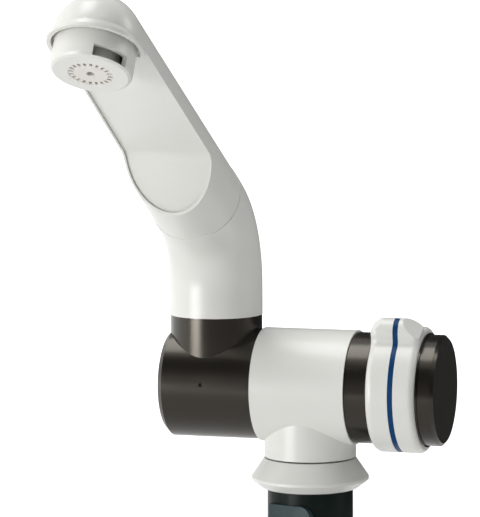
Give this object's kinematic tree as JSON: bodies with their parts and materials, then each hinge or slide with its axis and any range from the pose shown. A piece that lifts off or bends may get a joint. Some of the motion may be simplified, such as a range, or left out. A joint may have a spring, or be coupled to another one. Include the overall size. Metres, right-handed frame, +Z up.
{
  "type": "water tap",
  "caption": "Small fold-down cold water tap with a round horizontal barrel, a long angled spout and a rotary control with a blue ring.",
  "frame": {"origin": "on the axis of the foot, at the height of the worktop that the tap stands on", "axes": "+Z up along the axis of the foot, +X along the barrel toward the control, and the spout reaches out toward -Y"},
  "size_m": [0.0844, 0.138, 0.2198],
  "materials": {
    "white_plastic": "gloss",
    "black_plastic": "gloss",
    "grey_plastic": "satin",
    "blue_plastic": "gloss",
    "rubber_seal": "matte",
    "stainless_steel": "brushed",
    "ceramic_disc": "polished",
    "switch_plastic": "matte",
    "switch_brass": "satin",
    "rose_plastic": "satin"
  },
  "bodies": {
    "foot": {"shank": "black_plastic", "swivel_orings": "rubber_seal", "rosette": "white_plastic", "rosette_seal": "rubber_seal", "locating_tab": "grey_plastic", "hose_barb": "grey_plastic", "tail_plug": "grey_plastic", "cable_gland": "rubber_seal"},
    "clamp": {"clamp_washer": "stainless_steel", "clamp_nut": "grey_plastic"},
    "body": {"body_shell": "white_plastic", "valve_block": "grey_plastic", "swivel_socket": "grey_plastic", "swivel_clip": "stainless_steel", "disc_seal": "rubber_seal", "fixed_disc": "ceramic_disc", "cartridge_sleeve": "grey_plastic", "neck_ring": "black_plastic", "microswitch": "switch_plastic", "switch_terminals": "switch_brass", "pivot_spigot": "grey_plastic", "pivot_orings": "rubber_seal", "friction_washer": "rose_plastic"},
    "plunger": {"switch_plunger": "switch_plastic"},
    "spout": {"elbow_shell": "black_plastic", "locking_pin": "black_plastic", "pivot_housing": "grey_plastic", "pivot_clip": "stainless_steel", "spout_riser": "white_plastic", "arm_shell": "white_plastic", "arm_cover": "white_plastic", "water_pipe": "grey_plastic", "pipe_oring": "rubber_seal", "outlet_block": "grey_plastic", "nozzle_oring": "rubber_seal"},
    "nozzle": {"outlet_nozzle": "white_plastic", "spray_face": "rose_plastic", "flow_screen": "stainless_steel"},
    "control": {"control_ring": "white_plastic", "blue_band": "blue_plastic", "control_flange": "black_plastic", "end_cap": "black_plastic", "control_screw": "stainless_steel", "spindle": "grey_plastic", "spindle_oring": "rubber_seal", "moving_disc": "ceramic_disc"}
  },
  "joints": [
    {"name": "body_swivel", "type": "hinge", "parent": "foot", "child": "body", "pos_m": [0, 0, 0], "axis": [0, 0, 1], "range_deg": [-110, 110]},
    {"name": "spout_fold", "type": "hinge", "parent": "body", "child": "spout", "pos_m": [-0.0291, 0, 0.0308], "axis": [1, 0, 0], "range_deg": [0, 90]},
    {"name": "nozzle_turn", "type": "hinge", "parent": "spout", "child": "nozzle", "pos_m": [-0.0291, -0.10483, 0.13702], "axis": [0, -0.5075, -0.8616], "range_deg": [0, 60]},
    {"name": "control_turn", "type": "hinge", "parent": "body", "child": "control", "pos_m": [0.029, 0, 0.0308], "axis": [1, 0, 0], "range_deg": [0, 90]},
    {"name": "plunger_press", "type": "slide", "parent": "body", "child": "plunger", "axis": [0, 0, -1], "range_m": [0, 0.0006]},
    {"name": "clamp_travel", "type": "slide", "parent": "foot", "child": "clamp", "axis": [0, 0, 1], "range_m": [-0.012, 0.005]}
  ],
  "couplings": [
    {"joint": "plunger_press", "follows": "control_turn", "m_per_rad": 0.00038197}
  ]
}
